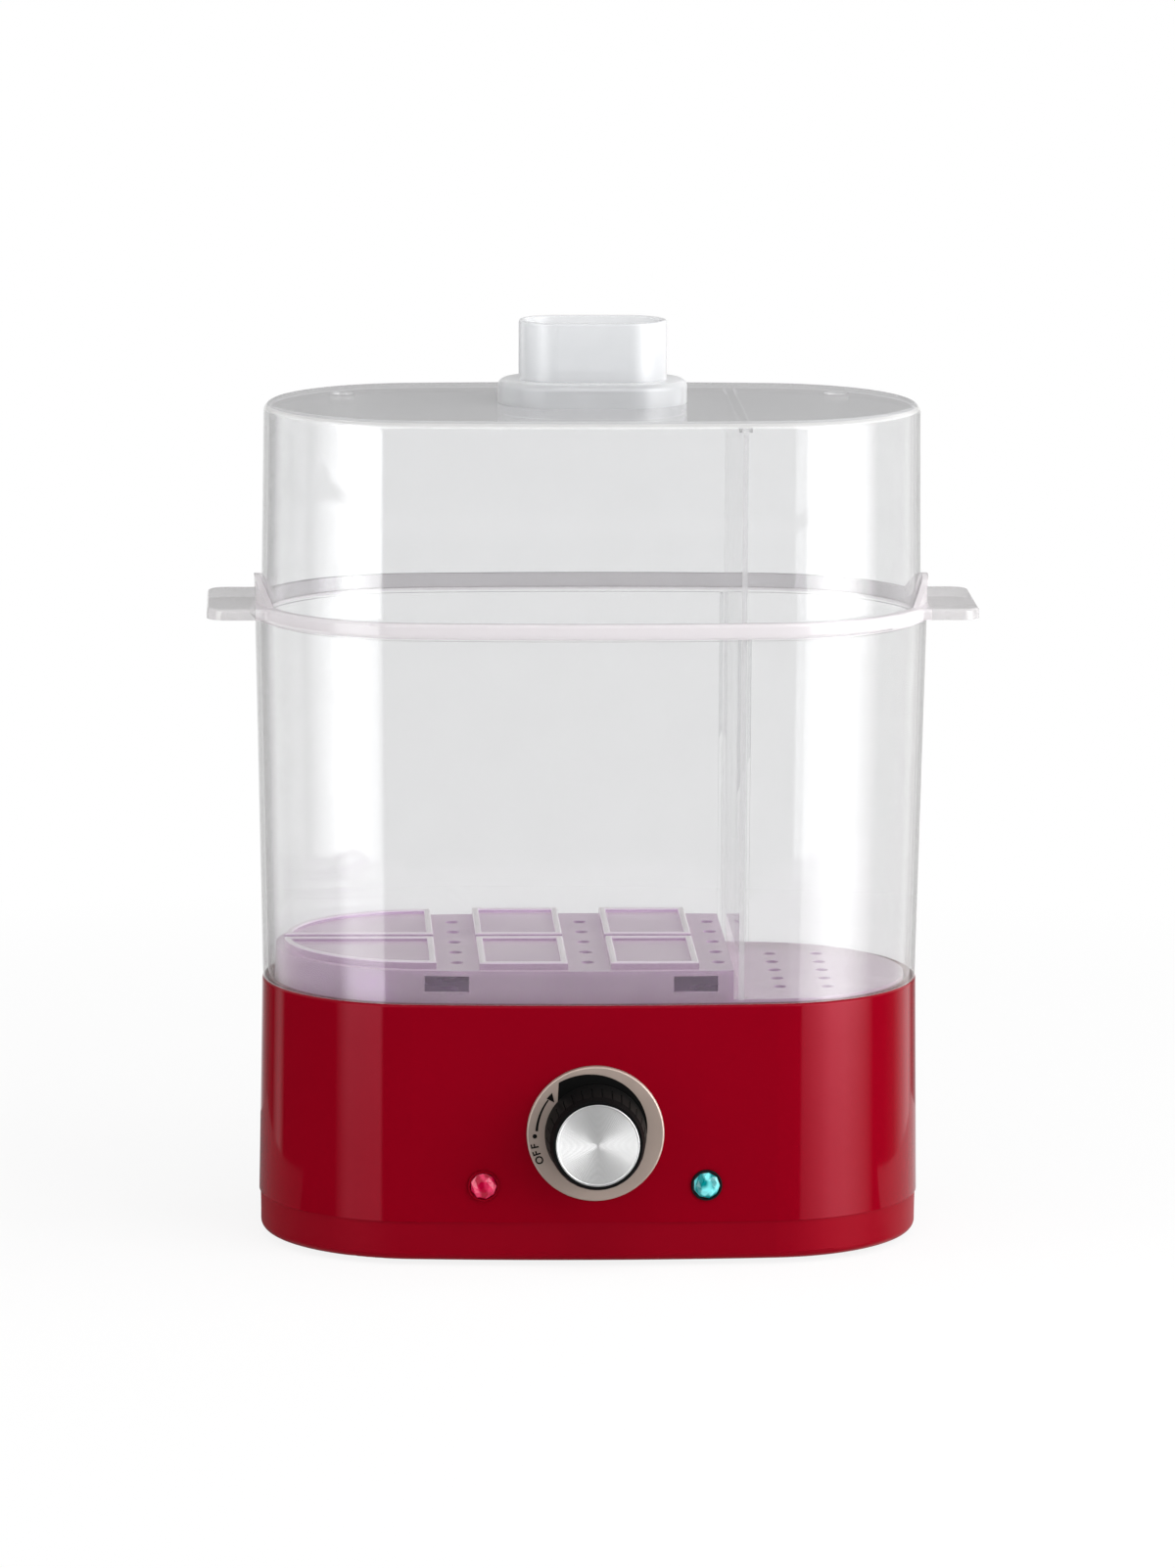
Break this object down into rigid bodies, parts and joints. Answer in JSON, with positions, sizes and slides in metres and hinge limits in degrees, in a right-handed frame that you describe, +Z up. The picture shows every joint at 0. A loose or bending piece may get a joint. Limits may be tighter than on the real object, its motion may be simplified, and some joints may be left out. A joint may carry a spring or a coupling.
{
  "type": "hot dog steamer",
  "caption": "Oval steamer: gloss base with timer knob and indicator lamps, clear steam chamber with a bun tray, divider and lidded top.",
  "frame": {"origin": "on the table plane, under the middle of the oval base", "axes": "+Z up, +Y from the front panel with the timer towards the rear wall, +X towards the sausage side"},
  "size_m": [0.289, 0.1537, 0.349],
  "materials": {
    "red_plastic": "high gloss",
    "black_rubber": "matte",
    "zinc_steel": "zinc plated",
    "pan_steel": "pressed, satin",
    "grey_silicone": "matte silicone",
    "cast_aluminium": "as cast",
    "element_steel": "dark oxidised sheath",
    "thermostat_steel": "satin",
    "fuse_metal": "tinned",
    "satin_steel": "satin",
    "timer_steel": "zinc plated",
    "bell_chrome": "polished",
    "red_lens": "clear red",
    "teal_lens": "clear blue-green",
    "bright_trim": "bright",
    "white_plastic": "satin",
    "neon_glass": "clear",
    "black_plastic": "gloss",
    "spun_aluminium": "circular turned lines",
    "clear_plastic": "clear",
    "frosted_plastic": "half frosted"
  },
  "bodies": {
    "base": {"base_housing": "red_plastic", "deck_frame": "red_plastic", "bottom_cover": "red_plastic", "rubber_feet": "black_rubber", "base_screws": "zinc_steel", "reservoir_pan": "pan_steel", "pan_gasket": "grey_silicone", "heat_plate": "cast_aluminium", "heating_element": "element_steel", "thermostat": "thermostat_steel", "thermal_fuse": "fuse_metal", "pan_clips": "zinc_steel", "clip_screws": "zinc_steel", "dial_plate": "satin_steel", "timer_screws": "zinc_steel", "timer_case": "timer_steel", "timer_bell": "bell_chrome", "power_lamp_lens": "red_lens", "ready_lamp_lens": "teal_lens", "lamp_bezels": "bright_trim", "lamp_holders": "white_plastic", "neon_lamps": "neon_glass", "cord_grommet": "black_rubber", "terminal_block": "white_plastic"},
    "knob": {"timer_shaft": "zinc_steel", "timer_knob": "black_plastic", "knob_cap": "spun_aluminium"},
    "tray": {"steam_tray": "clear_plastic"},
    "container": {"steam_container": "clear_plastic"},
    "divider": {"divider_panel": "clear_plastic"},
    "lid": {"steam_lid": "clear_plastic", "lid_knob": "frosted_plastic"}
  },
  "joints": [
    {"name": "timer_turn", "type": "hinge", "parent": "base", "child": "knob", "pos_m": [0, -0.0652, 0.0512], "axis": [0, 1, 0], "range_deg": [0, 300]},
    {"name": "tray_lift", "type": "slide", "parent": "base", "child": "tray", "axis": [0, 0, 1], "range_m": [0, 0.04]},
    {"name": "container_lift", "type": "slide", "parent": "tray", "child": "container", "axis": [0, 0, 1], "range_m": [0, 0.06]},
    {"name": "divider_lift", "type": "slide", "parent": "container", "child": "divider", "axis": [0, 0, 1], "range_m": [0, 0.16]},
    {"name": "lid_lift", "type": "slide", "parent": "divider", "child": "lid", "axis": [0, 0, 1], "range_m": [0, 0.1]}
  ]
}
